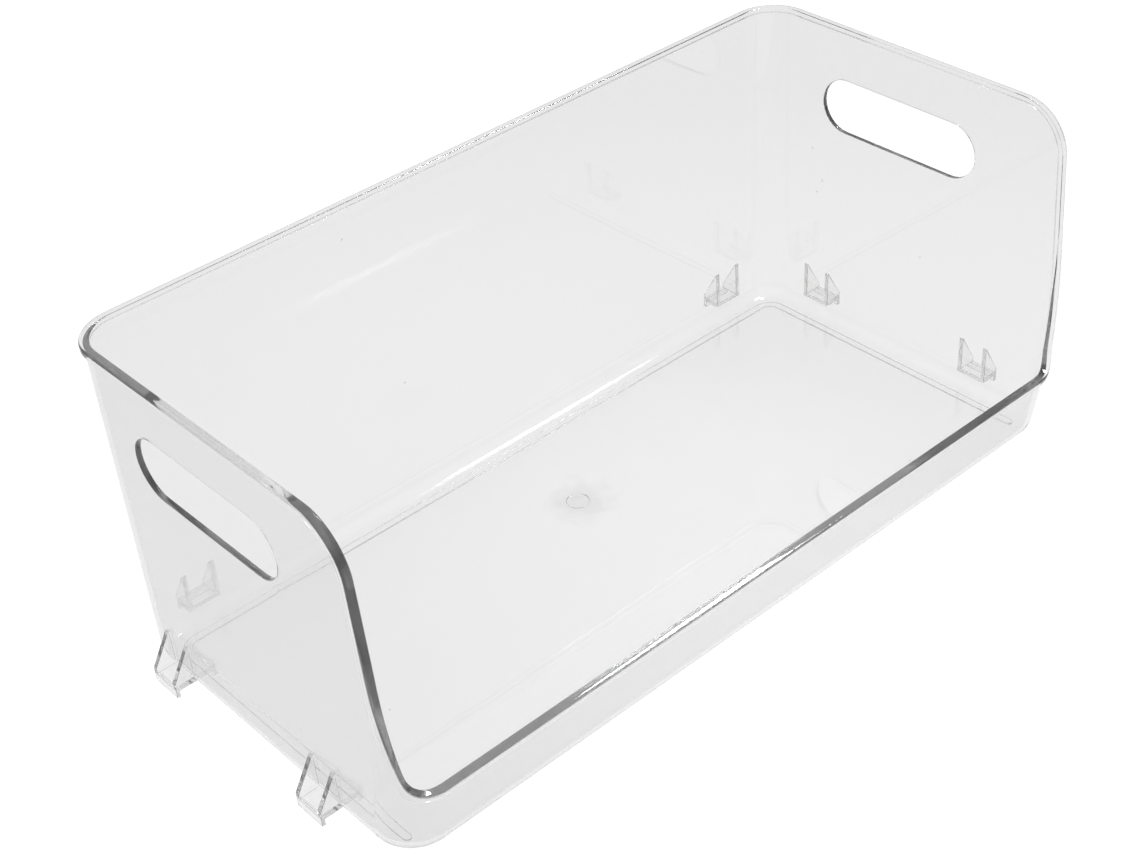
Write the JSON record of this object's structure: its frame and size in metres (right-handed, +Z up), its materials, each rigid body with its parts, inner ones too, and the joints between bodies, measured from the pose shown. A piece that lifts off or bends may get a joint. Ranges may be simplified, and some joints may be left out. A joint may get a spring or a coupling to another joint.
{
  "type": "fridge bin",
  "caption": "Clear stacking fridge bin with a low front lip, handle slots in its end walls and hooked clips near its base.",
  "frame": {"origin": "on the table under the middle of the whole bin, clips and rim bead included", "axes": "+X along the long side, +Y from the low front lip to the back wall, +Z up"},
  "size_m": [0.38, 0.1826, 0.152],
  "materials": {
    "clear_shell": "clear gloss",
    "clear_rim": "clear gloss, dark to the eye along its edge",
    "clear_clip": "clear gloss"
  },
  "bodies": {
    "root": {"back_wall": "clear_shell", "base_curve_back": "clear_shell", "base_curve_front": "clear_shell", "base_curve_left": "clear_shell", "base_curve_right": "clear_shell", "clip_back_left_fins": "clear_clip", "clip_back_left_hook": "clear_clip", "clip_back_left_shelf": "clear_clip", "clip_back_right_fins": "clear_clip", "clip_back_right_hook": "clear_clip", "clip_back_right_shelf": "clear_clip", "clip_left_end_back_fins": "clear_clip", "clip_left_end_back_hook": "clear_clip", "clip_left_end_back_shelf": "clear_clip", "clip_left_end_front_fins": "clear_clip", "clip_left_end_front_hook": "clear_clip", "clip_left_end_front_shelf": "clear_clip", "clip_right_end_back_fins": "clear_clip", "clip_right_end_back_hook": "clear_clip", "clip_right_end_back_shelf": "clear_clip", "clip_right_end_front_fins": "clear_clip", "clip_right_end_front_hook": "clear_clip", "clip_right_end_front_shelf": "clear_clip", "floor_panel": "clear_shell", "foot_rail_back": "clear_shell", "foot_rail_left": "clear_shell", "foot_rail_right": "clear_shell", "front_wall": "clear_shell", "gate_mark": "clear_shell", "left_back_corner": "clear_shell", "left_end_wall": "clear_shell", "left_front_corner": "clear_shell", "right_back_corner": "clear_shell", "right_end_wall": "clear_shell", "right_front_corner": "clear_shell", "rim_bead_back": "clear_rim", "rim_bead_front": "clear_rim", "rim_bead_left": "clear_rim", "rim_bead_right": "clear_rim"}
  },
  "joints": []
}
